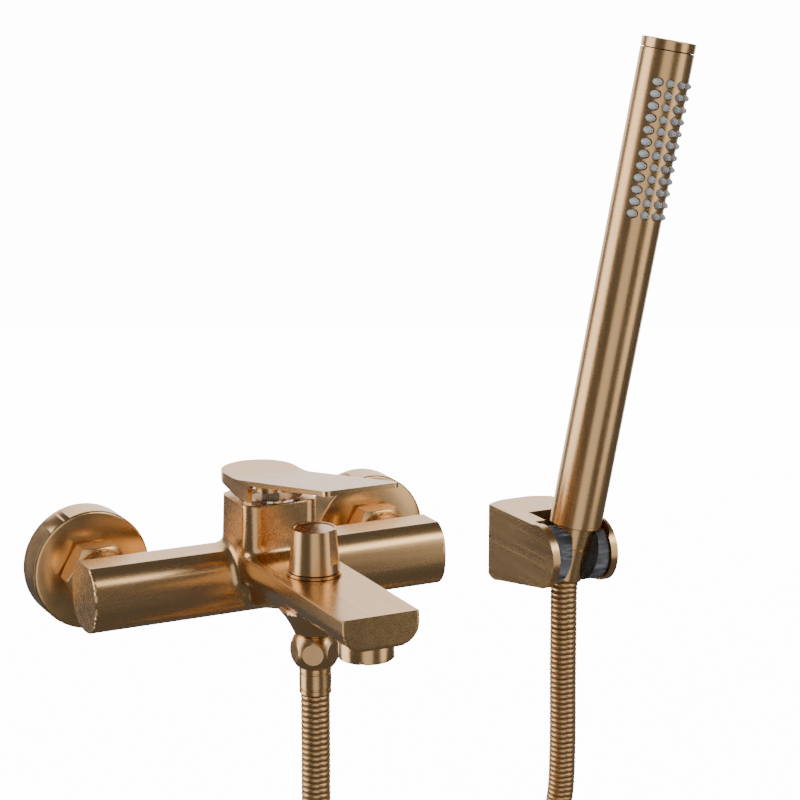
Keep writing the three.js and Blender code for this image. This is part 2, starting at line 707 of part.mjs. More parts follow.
// A cheek's outline in Y and Z: round about the tilt axis in front, with a large lower corner behind.
function bracketSide() {
  const s = new THREE.Shape();
  const c = BRACKET_CORNER;
  s.moveTo(0, BRACKET_TOP);
  s.lineTo(-HOLDER_OUT + 6, BRACKET_TOP + 1);
  s.absarc(-HOLDER_OUT, HOLDER_Z, CHEEK_R, radians(72), radians(250));
  s.lineTo(-c - 8, BRACKET_FOOT);
  s.absarc(-c, BRACKET_FOOT + c, c, radians(250), radians(360));
  return s;
}

// The bracket's plan: two flat sides and a curved back with a flat land on the wall.
function bracketPlan() {
  const half = BRACKET_WIDTH / 2;
  const R = BRACKET_BULGE_R;
  const reach = Math.asin(half / R);
  const centre = -R + 0.8;
  const s = new THREE.Shape();
  s.moveTo(-half, -HOLDER_OUT - 30);
  s.lineTo(half, -HOLDER_OUT - 30);
  s.absarc(0, centre, R, Math.PI / 2 - reach, Math.PI / 2 + reach);
  return s;
}

function bracketShell() {
  const side = alongX(bracketSide(), bracketLeft, bracketRight, 10);
  const plan = plate(bracketPlan(), -60, 20, 12).translate(BRACKET_X, 0, 0);
  const x = BRACKET_X;
  const i = cheekInside;
  const t = TOP_SLOT / 2;
  const p = BRACKET_WIDTH / 2 - 7;
  const swing = CHEEK_R - GAP;
  return cut(
    common(side, plan),
    box(x - i, x + i, -100, -CAVITY_BACK, -60, BRACKET_TOP - 2.2),
    box(x - i, x + i, -100, -ROOF_FRONT, -60, 20),
    box(x - t, x + t, -100, -TOP_SLOT_BACK, -60, 20),
    alongX(new THREE.Shape().absarc(-HOLDER_OUT, HOLDER_Z, swing, 0, 2 * Math.PI), x - i, x + i, 16),
    box(x - p, x + p, -POCKET_DEPTH, 1, BRACKET_FOOT + 9, BRACKET_TOP - 3),
    ...pinHoles().map((hole) => hole.translate(x, -HOLDER_OUT, HOLDER_Z)),
    ...barrelSwing().map((room) => room.translate(x, -HOLDER_OUT, HOLDER_Z)),
  );
}

// The room that the barrel's foot takes as it tilts, in steps close enough to run smooth.
function barrelSwing() {
  const steps = 6;
  return Array.from({ length: steps + 1 }, (_, i) => {
    const room = disc(SHOWER_R + RUN, SHOWER_START - 1.5, SHOWER_START + 30, 48);
    return room.rotateY(radians(SHOWER_SWAY)).rotateX(radians((TILT_REACH * i) / steps));
  });
}

const screwMiddle = (BRACKET_FOOT + 9 + BRACKET_TOP - 3) / 2 - SCREW_DROP;
const screwSides = [["upper", 1], ["lower", -1]];

function wallPlate() {
  const half = BRACKET_WIDTH / 2 - 7 - GAP;
  const x = BRACKET_X;
  const base = box(x - half, x + half, -PLATE_DEPTH, 0, BRACKET_FOOT + 9 + GAP, BRACKET_TOP - 3 - GAP);
  const holes = screwSides.map(([, s]) => {
    const profile = [
      [0, -1], [SCREW_R + GAP, -1], [SCREW_R + GAP, PLATE_DEPTH - 2.4],
      [SCREW_R + 2.6, PLATE_DEPTH + 0.1], [SCREW_R + 2.6, PLATE_DEPTH + 1], [0, PLATE_DEPTH + 1],
    ];
    return outward(lathe(profile, 16)).translate(x, 0, screwMiddle + (s * SCREW_PITCH) / 2);
  });
  return cut(base, ...holes);
}

function wallScrew() {
  const head = PLATE_DEPTH - 0.4;
  return outward(lathe([
    [0, -PLUG_LENGTH + 3], [SCREW_R, -PLUG_LENGTH + 6], [SCREW_R, PLATE_DEPTH - 2.7],
    [SCREW_R + 2.1, head], [0, head],
  ], 16));
}

function wallPlug() {
  return outward(tube(SCREW_R + 0.2, PLUG_R, -PLUG_LENGTH, -PLUG_SUNK, 14));
}

add("bracket_shell", bracketShell(), brass);
add("bracket_wall_plate", wallPlate(), steel);
for (const [name, s] of screwSides) {
  const z = screwMiddle + (s * SCREW_PITCH) / 2;
  add(name + "_bracket_screw", wallScrew().translate(BRACKET_X, 0, z), steel);
  add(name + "_wall_plug", wallPlug().translate(BRACKET_X, 0, z), grey);
}

// ---- Holder and hand shower, on the tilt axis ----

const holder = new THREE.Group();
holder.position.set(BRACKET_X, -HOLDER_OUT, HOLDER_Z);
holder.rotation.x = radians(SHOWER_LEAN);
object.add(holder);

// The hand shower's own +Z runs up its axis.
const shower = new THREE.Group();
shower.rotation.y = radians(SHOWER_SWAY);
holder.add(shower);

// The cone's radius at a height on its axis.
function coneRadius(z) {
  return CONE_FOOT_R + ((CONE_TOP_R - CONE_FOOT_R) * (z - CONE_FOOT)) / (CONE_TOP - CONE_FOOT);
}

// Blind holes for the two pivot pins, through the insert's sides and into the cheeks.
function pinHoles() {
  const from = cheekInside - PIN_DEPTH - GAP;
  const to = cheekInside + PIN_DEPTH - 0.7;
  return [-1, 1].map((side) => disc(PIN_R + GAP, from, to, 14).rotateY((side * Math.PI) / 2));
}

// The insert is a drum between the cheeks, bored aslant for the cone and slotted in front for the hose.
function holderInsert() {
  const half = cheekInside - RUN;
  const sway = radians(SHOWER_SWAY);
  const drum = alongX(new THREE.Shape().absarc(0, 0, HOLDER_R, 0, 2 * Math.PI), -half, half, 16);
  const far = HOLDER_R + 2;
  const seat = lathe([
    [0, -far], [coneRadius(-far) + GAP, -far], [coneRadius(far) + GAP, far], [0, far],
  ], 28);
  const slot = box(-HOSE_SLOT / 2, HOSE_SLOT / 2, -far, 0, -far, far);
  const foot = disc(SHOWER_R + RUN, SHOWER_START - RUN, SHOWER_START + far, 32);
  return cut(drum, seat.rotateY(sway), slot.rotateY(sway), foot.rotateY(sway), ...pinHoles());
}

function pivotPin(side) {
  return disc(PIN_R, cheekInside - PIN_DEPTH, cheekInside + PIN_DEPTH - 1, 14).rotateY((side * Math.PI) / 2);
}

add("holder_insert", holderInsert(), grey, holder);
add("left_pivot_pin", pivotPin(-1), steel, holder);
add("right_pivot_pin", pivotPin(1), steel, holder);

// The hose ends in a hollow ball on the tilt axis, and a sleeve holds the hose below it.
function swivelBall() {
  const bore = disc(BALL_BORE_R, -BALL_R - 1, BALL_R + 1, 12);
  return cut(new THREE.SphereGeometry(BALL_R, 18, 12), bore);
}

function endSleeve() {
  return tube(BALL_R + RUN, CONE_BORE_R - RUN, CONE_FOOT - 1, 0, 18);
}

// The cone nut swivels round the sleeve and is threaded inside its top.
function coneNut() {
  const thread = BALL_R + 1;
  return lathe([
    [CONE_BORE_R, CONE_FOOT], [CONE_FOOT_R, CONE_FOOT], [CONE_TOP_R, CONE_TOP], [SOCKET_R + GAP, CONE_TOP],
    [SOCKET_R + GAP, thread], [CONE_BORE_R, thread], [CONE_BORE_R, CONE_FOOT],
  ], 32);
}

add("swivel_ball", swivelBall(), steel, shower);
add("hose_end_sleeve", endSleeve(), steel, shower);
add("cone_nut", coneNut(), brass, shower);

const showerTop = SHOWER_START + SHOWER_LENGTH;
const capFoot = showerTop - SHOWER_CAP;

const MIDDLE_COLUMN = (NOZZLE_COLUMNS - 1) / 2;
const firstRow = showerTop - NOZZLE_TOP;

// Places on the barrel where the nozzles come through: to the side, ahead of its axis and along it.
function nozzlePlaces() {
  const places = [];
  for (let row = 0; row < NOZZLE_ROWS; row++)
    for (let column = 0; column < NOZZLE_COLUMNS; column++) {
      const angle = radians((column - MIDDLE_COLUMN) * NOZZLE_SPREAD);
      places.push([SHOWER_R * Math.sin(angle), SHOWER_R * Math.cos(angle), firstRow - row * NOZZLE_PITCH]);
    }
  return places;
}

// A stub through the barrel's front. All of them point straight ahead.
function nozzleStub(r0, r1, behind, ahead, [x, out, z]) {
  const made = lathe([[0, -behind], [r0, -behind], [r0, 0], [r1, ahead], [0, ahead]], 8);
  return outward(made).translate(x, -out, z);
}

function barrel() {
  const inside = SHOWER_R - SHOWER_WALL;
  const hole = SOCKET_R + GAP;
  const shelf = SHOWER_START + BARREL_FOOT;
  const wall = lathe([
    [hole, SHOWER_START], [SHOWER_R, SHOWER_START], [SHOWER_R, capFoot - GAP], [inside, capFoot - GAP],
    [inside, shelf], [hole, shelf], [hole, SHOWER_START],
  ], 32);
  const r = NOZZLE_R + GAP;
  const ahead = NOZZLE_REACH + 1;
  return cut(wall, ...nozzlePlaces().map((place) => nozzleStub(r, r, NOZZLE_ROOT + 1, ahead, place)));
}

function endCap() {
  const inside = SHOWER_R - SHOWER_WALL - GAP;
  return lathe([
    [0, capFoot - 4], [inside, capFoot - 4], [inside, capFoot], [SHOWER_R, capFoot],
    [SHOWER_R, showerTop], [0, showerTop],
  ], 32);
}

// The mat behind the barrel's wall carries all the nozzles.
function nozzleMat() {
  const outer = SHOWER_R - SHOWER_WALL - GAP;
  const foot = firstRow - (NOZZLE_ROWS - 1) * NOZZLE_PITCH - 8;
  const reach = radians(MIDDLE_COLUMN * NOZZLE_SPREAD + 24);
  const s = new THREE.Shape();
  s.absarc(0, 0, outer, -Math.PI / 2 - reach, -Math.PI / 2 + reach);
  s.absarc(0, 0, outer - 1.6, -Math.PI / 2 + reach, -Math.PI / 2 - reach, true);
  const stubs = nozzlePlaces().map((place) =>
    nozzleStub(NOZZLE_R, NOZZLE_TIP_R, NOZZLE_ROOT, NOZZLE_REACH, place));
  return join(plate(s, foot, firstRow + 8, 12), ...stubs);
}

// The socket takes the cone nut's thread and holds the barrel's foot.
const gasketFoot = BALL_R + 1 + GAP;
const socketFoot = gasketFoot + CONE_GASKET + GAP;

function coneGasket() {
  return tube(3.9, SOCKET_R, gasketFoot, gasketFoot + CONE_GASKET, 16);
}

function socket() {
  const shoulder = SHOWER_START + BARREL_FOOT + GAP;
  return lathe([
    [SOCKET_BORE_R, socketFoot], [SOCKET_R, socketFoot], [SOCKET_R, shoulder], [SOCKET_R + 2, shoulder],
    [SOCKET_R + 2, shoulder + 6], [SOCKET_BORE_R, shoulder + 6], [SOCKET_BORE_R, socketFoot],
  ]);
}

// The water tube brings water up from the socket to the nozzle mat's chamber.
function waterTube() {
  const foot = SHOWER_START + BARREL_FOOT + 6 + 2 * GAP;
  const top = firstRow - NOZZLE_ROWS * NOZZLE_PITCH - 6;
  return tube(SOCKET_BORE_R, SOCKET_BORE_R + 1.8, foot, top, 18);
}

add("barrel", barrel(), brass, shower);
add("end_cap", endCap(), brass, shower);
add("nozzle_mat", nozzleMat(), silicone, shower);
add("shower_socket", socket(), brass, shower);
add("water_tube", waterTube(), grey, shower);
add("cone_gasket", coneGasket(), rubber, shower);

export default object;
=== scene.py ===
"""Wall mounted bath faucet with a hand shower, a metal hose and a wall bracket, in brushed copper bronze."""
import bpy
import bmesh
import math
from mathutils import Matrix, Vector
from mathutils.bvhtree import BVHTree


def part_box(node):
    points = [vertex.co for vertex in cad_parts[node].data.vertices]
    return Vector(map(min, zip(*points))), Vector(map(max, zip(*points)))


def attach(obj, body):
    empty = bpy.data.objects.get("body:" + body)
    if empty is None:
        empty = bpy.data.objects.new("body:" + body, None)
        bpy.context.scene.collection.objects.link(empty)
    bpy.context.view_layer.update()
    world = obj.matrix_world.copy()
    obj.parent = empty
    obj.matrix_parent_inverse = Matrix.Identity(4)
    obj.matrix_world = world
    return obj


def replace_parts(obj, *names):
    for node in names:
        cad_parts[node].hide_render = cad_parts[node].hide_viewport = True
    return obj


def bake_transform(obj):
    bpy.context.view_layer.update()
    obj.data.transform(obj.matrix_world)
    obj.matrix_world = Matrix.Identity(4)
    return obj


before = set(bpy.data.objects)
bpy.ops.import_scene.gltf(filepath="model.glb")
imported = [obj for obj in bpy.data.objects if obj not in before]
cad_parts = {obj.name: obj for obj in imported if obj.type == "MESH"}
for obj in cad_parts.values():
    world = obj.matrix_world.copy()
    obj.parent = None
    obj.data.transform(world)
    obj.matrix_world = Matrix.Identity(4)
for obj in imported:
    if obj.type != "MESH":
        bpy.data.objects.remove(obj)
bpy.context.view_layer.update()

mm = 0.001
TURN = 2 * math.pi


# ---- Camera ----

CAMERA_AZIMUTH = math.radians(26.41)
CAMERA_ELEVATION = math.radians(13.18)
CAMERA_DISTANCE = 1.3
CAMERA_ACROSS = 89.8 * mm
CAMERA_UP = 71.6 * mm
LENS_TO_WIDTH = 3.2225


def set_camera():
    a, e = CAMERA_AZIMUTH, CAMERA_ELEVATION
    back = Vector((-math.sin(a) * math.cos(e), -math.cos(a) * math.cos(e), math.sin(e)))
    right = Vector((math.cos(a), -math.sin(a), 0))
    up = back.cross(right)
    place = back * CAMERA_DISTANCE + right * CAMERA_ACROSS + up * CAMERA_UP
    data = bpy.data.cameras.new("camera")
    data.sensor_width = 36
    data.lens = 36 * LENS_TO_WIDTH
    camera = bpy.data.objects.new("camera", data)
    camera.matrix_world = Matrix.Translation(place) @ Matrix((right, up, back)).transposed().to_4x4()
    bpy.context.scene.collection.objects.link(camera)
    bpy.context.scene.camera = camera


set_camera()


# ---- Mesh helpers ----

def finished(name, bm, body, *nodes, smooth=True):
    """Makes the object from its bmesh in millimetres, on its body and standing for its CAD nodes."""
    bmesh.ops.scale(bm, vec=(mm, mm, mm), verts=bm.verts)
    mesh = bpy.data.meshes.new(name)
    bm.to_mesh(mesh)
    bm.free()
    if smooth:
        mesh.polygons.foreach_set("use_smooth", [True] * len(mesh.polygons))
    piece = bpy.data.objects.new(name, mesh)
    bpy.context.scene.collection.objects.link(piece)
    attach(piece, body)
    if nodes:
        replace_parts(piece, *nodes)
    return piece


def closed(bm, distance=1e-4):
    bmesh.ops.remove_doubles(bm, verts=bm.verts, dist=distance)
    bmesh.ops.recalc_face_normals(bm, faces=bm.faces)
    return bm


def spun(profile, steps=96):
    """A piece turned about Z from (radius, height) points."""
    bm = bmesh.new()
    verts = [bm.verts.new((r, 0, z)) for r, z in profile]
    edges = [bm.edges.new(pair) for pair in zip(verts, verts[1:])]
    if profile[0][0] > 0 and profile[-1][0] > 0:
        edges.append(bm.edges.new((verts[-1], verts[0])))
    bmesh.ops.spin(bm, geom=verts + edges, cent=(0, 0, 0), axis=(0, 0, 1), dvec=(0, 0, 0),
                   angle=TURN, steps=steps, use_merge=True, use_normal_flip=False, use_duplicate=False)
    return closed(bm)


def drawn(outline, height):
    """A flat outline in X and Y, drawn out along Z."""
    bm = bmesh.new()
    face = bm.faces.new([bm.verts.new((x, y, 0)) for x, y in outline])
    made = bmesh.ops.extrude_face_region(bm, geom=[face])
    top = [v for v in made["geom"] if isinstance(v, bmesh.types.BMVert)]
    bmesh.ops.translate(bm, verts=top, vec=(0, 0, height))
    return closed(bm)


def placed(bm, *steps):
    """Turns and moves a bmesh by matrices, the last one given first."""
    matrix = Matrix.Identity(4)
    for step in steps:
        matrix = matrix @ step
    bmesh.ops.transform(bm, matrix=matrix, verts=bm.verts)
    return bm


def move(x=0, y=0, z=0):
    return Matrix.Translation((x, y, z))


def turn(degrees, axis):
    return Matrix.Rotation(math.radians(degrees), 4, axis)


OUTWARD = turn(90, "X")  # +Z becomes the way out of the wall
ALONG_X = Matrix(((0, 0, 1, 0), (1, 0, 0, 0), (0, 1, 0, 0), (0, 0, 0, 1)))  # an outline in Y and Z


def arc(x, y, r, start, end, steps=8):
    """Points on a circle from one angle to another, in degrees."""
    angles = [math.radians(start + (end - start) * i / steps) for i in range(steps + 1)]
    return [(x + r * math.cos(t), y + r * math.sin(t)) for t in angles]


def rounded(x0, x1, y0, y1, r, steps=10):
    return (arc(x1 - r, y0 + r, r, -90, 0, steps) + arc(x1 - r, y1 - r, r, 0, 90, steps)
            + arc(x0 + r, y1 - r, r, 90, 180, steps) + arc(x0 + r, y0 + r, r, 180, 270, steps))


def bevelled(piece, width, segments=3, angle=32):
    bevel = piece.modifiers.new("edges", "BEVEL")
    bevel.width = width
    bevel.segments = segments
    bevel.limit_method = "ANGLE"
    bevel.angle_limit = math.radians(angle)
    bevel.harden_normals = True
    bevel.miter_outer = "MITER_ARC"
    return piece


def merged(bm, other):
    """Adds another bmesh's shape to this one and frees it."""
    mesh = bpy.data.meshes.new("part")
    other.to_mesh(mesh)
    other.free()
    bm.from_mesh(mesh)
    bpy.data.meshes.remove(mesh)
    return bm


def applied(bm, *modifiers):
    """The bmesh after modifiers, each a (type, settings) pair."""
    mesh = bpy.data.meshes.new("work")
    bm.to_mesh(mesh)
    work = bpy.data.objects.new("work", mesh)
    bpy.context.scene.collection.objects.link(work)
    for kind, settings in modifiers:
        modifier = work.modifiers.new(kind.lower(), kind)
        for name, value in settings.items():
            setattr(modifier, name, value)
    graph = bpy.context.evaluated_depsgraph_get()
    result = bpy.data.meshes.new_from_object(work.evaluated_get(graph))
    bm.clear()
    bm.from_mesh(result)
    bpy.data.objects.remove(work)
    bpy.data.meshes.remove(mesh)
    bpy.data.meshes.remove(result)
    return bm


def cut(bm, tool, operation="DIFFERENCE"):
    """The bmesh cut by, joined to or kept inside the tool's shape."""
    mesh = bpy.data.meshes.new("tool")
    tool.to_mesh(mesh)
    tool.free()
    cutter = bpy.data.objects.new("tool", mesh)
    bpy.context.scene.collection.objects.link(cutter)
    applied(bm, ("BOOLEAN", {"object": cutter, "operation": operation, "solver": "EXACT"}))
    bpy.data.objects.remove(cutter)
    bpy.data.meshes.remove(mesh)
    return bm


def box(x0, x1, y0, y1, z0, z1):
    bm = bmesh.new()
    bmesh.ops.create_cube(bm, size=1)
    centre = move((x0 + x1) / 2, (y0 + y1) / 2, (z0 + z1) / 2)
    return placed(bm, centre, Matrix.Diagonal((x1 - x0, y1 - y0, z1 - z0, 1)))


def disc(r, z0, z1, steps=64):
    return spun([(0, z0), (r, z0), (r, z1), (0, z1)], steps)


def pipe(inner, outer, z0, z1, steps=96):
    return spun([(inner, z0), (outer, z0), (outer, z1), (inner, z1)], steps)


def span(node):
    """A node's lowest and highest corners, in millimetres."""
    low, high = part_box(node)
    return Vector(low) / mm, Vector(high) / mm


body_low, body_high = span("mixer_body")
nut_low, nut_high = span("hose_nut")
BAR_HALF = body_high.x
COLLAR_FACE = -body_high.y
SPOUT_END = -body_low.y
TOWER_TOP = body_high.z
INLET_X = (span("right_wall_rose")[0].x + span("right_wall_rose")[1].x) / 2
KNOB_Y = (span("diverter_ring")[0].y + span("diverter_ring")[1].y) / 2
AERATOR_Y = (span("aerator_housing")[0].y + span("aerator_housing")[1].y) / 2
BRACKET_X = (span("bracket_shell")[0].x + span("bracket_shell")[1].x) / 2
TILT = Vector((BRACKET_X, -58.5, -12))
LEAN = 1.6
SWAY = 10.5
HOLDER_PLACE = (move(*TILT), turn(LEAN, "X"))
SHOWER_PLACE = (*HOLDER_PLACE, turn(SWAY, "Y"))


# ---- Materials ----

class Level:
    """A socket whose operators add Math nodes."""

    def __init__(self, look, socket):
        self.look, self.socket = look, socket

    def math(self, operation, *others):
        return self.look.node("ShaderNodeMath", {"operation": operation}, {0: self, **dict(enumerate(others, 1))})

    def __add__(self, other):
        return self.math("ADD", other)

    def __mul__(self, other):
        return self.math("MULTIPLY", other)

    def __rsub__(self, other):
        return self.look.node("ShaderNodeMath", {"operation": "SUBTRACT"}, {0: other, 1: self})

    def __sub__(self, other):
        return self.math("SUBTRACT", other)

    def __truediv__(self, other):
        return self.math("DIVIDE", other)

    def __gt__(self, other):
        return self.math("GREATER_THAN", other)

    __radd__, __rmul__ = __add__, __mul__


class Look:
    """A material, and the nodes that make it."""

    def __init__(self, name, slot, **constants):
        self.material = bpy.data.materials.new(name)
        self.slot = slot
        self.material.use_nodes = True
        self.tree = self.material.node_tree
        self.shader = self.tree.nodes["Principled BSDF"]
        for socket, value in constants.items():
            self.shader.inputs[socket.replace("_", " ")].default_value = value

    def node(self, kind, settings=None, values=None, output=0):
        node = self.tree.nodes.new(kind)
        for name, value in (settings or {}).items():
            if name == "stops":
                ramp_stops(node.color_ramp, value)
            else:
                setattr(node, name, value)
        for name, value in (values or {}).items():
            if isinstance(value, Level):
                self.tree.links.new(value.socket, node.inputs[name])
            else:
                node.inputs[name].default_value = value
        return Level(self, node.outputs[output])

    def feed(self, **values):
        for name, value in values.items():
            self.tree.links.new(value.socket, self.shader.inputs[name.replace("_", " ")])
        return self

    def place(self):
        return self.node("ShaderNodeTexCoord", output="Object")

    def noise(self, stretch, scale, detail=2.0, roughness=0.5):
        """A noise on the piece, stretched by a scale along each axis."""
        place = self.node("ShaderNodeMapping", {}, {"Vector": self.place(), "Scale": stretch})
        return self.node("ShaderNodeTexNoise", {}, {
            "Vector": place, "Scale": scale, "Detail": detail, "Roughness": roughness})

    def between(self, share, a, b):
        """A colour between two colours."""
        return self.node("ShaderNodeMix", {"data_type": "RGBA"}, {0: share, 6: a, 7: b}, output=2)

    def spread(self, share, low, high):
        """A level mapped from 0 to 1 on to low to high, and held there."""
        return self.node("ShaderNodeMapRange", {}, {
            "Value": share, "To Min": low, "To Max": high, "From Min": 0.3, "From Max": 0.7})

    def raised(self, height, depth, strength=1.0):
        """A normal from a height, which is depth metres at 1."""
        return self.node("ShaderNodeBump", {}, {"Height": height, "Distance": depth, "Strength": strength})


def ramp_stops(ramp, stops):
    while len(ramp.elements) < len(stops):
        ramp.elements.new(1)
    for element, (position, colour) in zip(ramp.elements, stops):
        element.position = position
        element.color = (*colour, 1)


BRONZE = (0.80, 0.50, 0.23, 1)
BRONZE_DEEP = (0.76, 0.465, 0.21, 1)


def brushed_bronze(name, stretch, roughness=0.26):
    """Copper bronze plating, brushed the long way of the piece."""
    look = Look(name, "bronze", Metallic=1.0, Coat_Weight=0.2, Coat_Roughness=0.2, Coat_IOR=1.5)
    return plated(look, look.noise(stretch, 260, 2), roughness)


def plated(look, brush, roughness):
    cloud = look.noise((1, 1, 1), 9)
    return look.feed(
        Base_Color=look.between(look.spread(brush * 0.5 + cloud * 0.5, 0, 1), BRONZE_DEEP, BRONZE),
        Roughness=look.spread(brush, roughness - 0.025, roughness + 0.03))


def plating():
    """The mixer's body: brushed along the bar, and along the spout ahead of it."""
    look = Look("bronze_body", "bronze", Metallic=1.0, Coat_Weight=0.2, Coat_Roughness=0.2, Coat_IOR=1.5)
    along_bar = look.noise((0.03, 1, 1), 260, 2)
    along_spout = look.noise((1, 0.03, 1), 260, 2)
    out = look.node("ShaderNodeSeparateXYZ", {}, {0: look.place()}, output="Y")
    ahead = out * -1 > 0.07
    return plated(look, along_bar * (1 - ahead) + along_spout * ahead, 0.26)


def hose_winding():
    """Plated metal wound round the hose: bronze on each turn's back, with painted shade in the groove, where it is
    near black and dull.
    """
    look = Look("bronze_winding", "hose_winding", Metallic=1.0)
    crest = look.node("ShaderNodeAttribute", {"attribute_name": "crest"}, output="Fac")
    wear = look.noise((1, 1, 1), 900, 2)
    look.feed(
        # Painted shade: the colour runs from near black in the groove to bronze on the crest
        Base_Color=look.between(crest, (0.12, 0.06, 0.03, 1), (0.80, 0.50, 0.23, 1)),
        Roughness=look.spread(wear, 0.3, 0.42) + (1 - crest) * 0.2)
    return look


def plain_metal(name, slot, colour, low, high, grain=500):
    look = Look(name, slot, Metallic=1.0)
    grey = look.noise((1, 1, 1), grain, 3)
    look.feed(
        Base_Color=look.between(look.spread(grey, 0, 1), (*[c * 0.92 for c in colour], 1), (*colour, 1)),
        Roughness=look.spread(grey, low, high))
    return look


def moulded(name, slot, colour, roughness, grain=2500, depth=15e-6, **constants):
    """A moulded plastic or rubber with a fine spark-eroded grain."""
    look = Look(name, slot, **constants)
    grain_level = look.noise((1, 1, 1), grain, 2)
    patch = look.noise((1, 1, 1), 60)
    look.feed(
        Base_Color=look.between(look.spread(patch, 0, 1), (*[c * 0.88 for c in colour], 1), (*colour, 1)),
        Roughness=look.spread(patch, roughness - 0.05, roughness + 0.06),
        Normal=look.raised(grain_level, depth, 0.4))
    return look


body_bronze = plating()
bronze_across = brushed_bronze("bronze_across", (0.03, 1, 1))
bronze_outward = brushed_bronze("bronze_outward", (1, 0.03, 1))
bronze_upright = brushed_bronze("bronze_upright", (1, 1, 0.03))
bronze_even = brushed_bronze("bronze_even", (0.4, 0.4, 0.4), 0.24)
winding = hose_winding()
chrome = plain_metal("chrome", "chrome_trim", (0.78, 0.78, 0.79), 0.08, 0.16)
steel = plain_metal("steel", "steel", (0.55, 0.55, 0.56), 0.25, 0.4)
grey_plastic = moulded("grey_plastic", "grey_plastic", (0.16, 0.17, 0.19), 0.4)
black_plastic = moulded("black_plastic", "black_plastic", (0.012, 0.012, 0.013), 0.45)
black_rubber = moulded("black_rubber", "black_rubber", (0.02, 0.02, 0.02), 0.7)
silicone = moulded("silicone", "silicone", (0.80, 0.82, 0.85), 0.42, Subsurface_Weight=0.15,
                   Subsurface_Radius=(0.001, 0.001, 0.001))


def made_of(piece, look):
    piece.data.materials.clear()
    piece.data.materials.append(look.material)
    return piece


# ---- Hose ----

HOSE_RADIUS = 7 * mm
RIDGE_PITCH = 2.7 * mm
HOSE_SIDES = 20
# Each ring is (phase, radius, crest); a low crest share puts painted shade on the groove between turns
RIDGE = [(0.0, 0.86, 0.0), (0.1, 0.95, 0.6), (0.28, 0.99, 1.0), (0.5, 1.0, 1.0), (0.72, 0.99, 1.0), (0.9, 0.95, 0.6)]
HOSE_TOP_LENGTH = 28 * mm

COIL_CENTRE = Vector((84.3, -82.8, -221)) * mm
COIL_TURN = math.radians(19.4)
COIL_RADIUS = 71.5 * mm
COIL_TURNS = 2.5
COIL_WIDTH = 37 * mm
TURN_POINTS = 24

mixer_leg = [
    (0, -112.5, -44.1), (0, -112.5, -72), (0, -112.5, -100), (1.5, -113, -135),
    (8, -116, -168), (17, -121, -197)]
shower_leg = [
    (166.5, -58.2, -23.8), (165.9, -57.9, -30), (165.9, -57.8, -45), (166, -57.8, -75), (166.3, -58, -120),
    (166, -56.6, -145), (163, -53.2, -168), (157.5, -48.4, -190), (150.5, -44, -207)]


def coil_points():
    across = Vector((math.cos(COIL_TURN), math.sin(COIL_TURN), 0))
    through = Vector((-math.sin(COIL_TURN), math.cos(COIL_TURN), 0))
    steps = int(COIL_TURNS * TURN_POINTS)
    points = []
    for i in range(steps + 1):
        share = i / steps
        t = math.pi + share * COIL_TURNS * TURN
        ring = across * math.cos(t) + Vector((0, 0, 1)) * math.sin(t)
        points.append(COIL_CENTRE + ring * COIL_RADIUS + through * (share - 0.5) * COIL_WIDTH)
    return points


def smooth_route(points, spacing):
    """Points evenly spaced on a smooth line through the given ones."""
    line = []
    ends = [points[0] * 2 - points[1], *points, points[-1] * 2 - points[-2]]
    for a, b, c, d in zip(ends, ends[1:], ends[2:], ends[3:]):
        gaps = [max((q - p).length, 1e-6) ** 0.5 for p, q in ((a, b), (b, c), (c, d))]
        m0 = ((b - a) / gaps[0] - (c - a) / (gaps[0] + gaps[1]) + (c - b) / gaps[1]) * gaps[1]
        m1 = ((c - b) / gaps[1] - (d - b) / (gaps[1] + gaps[2]) + (d - c) / gaps[2]) * gaps[1]
        for i in range(24):
            t = i / 24
            line.append(b * (2 * t**3 - 3 * t**2 + 1) + m0 * (t**3 - 2 * t**2 + t)
                        + c * (-2 * t**3 + 3 * t**2) + m1 * (t**3 - t**2))
    line.append(points[-1])
    lengths = [0.0]
    for p, q in zip(line, line[1:]):
        lengths.append(lengths[-1] + (q - p).length)
    count = max(2, round(lengths[-1] / spacing))
    even, at = [], 0
    for i in range(count + 1):
        want = lengths[-1] * i / count
        while at < len(line) - 2 and lengths[at + 1] < want:
            at += 1
        step = lengths[at + 1] - lengths[at]
        even.append(line[at].lerp(line[at + 1], (want - lengths[at]) / step if step else 0))
    return even, lengths[-1]


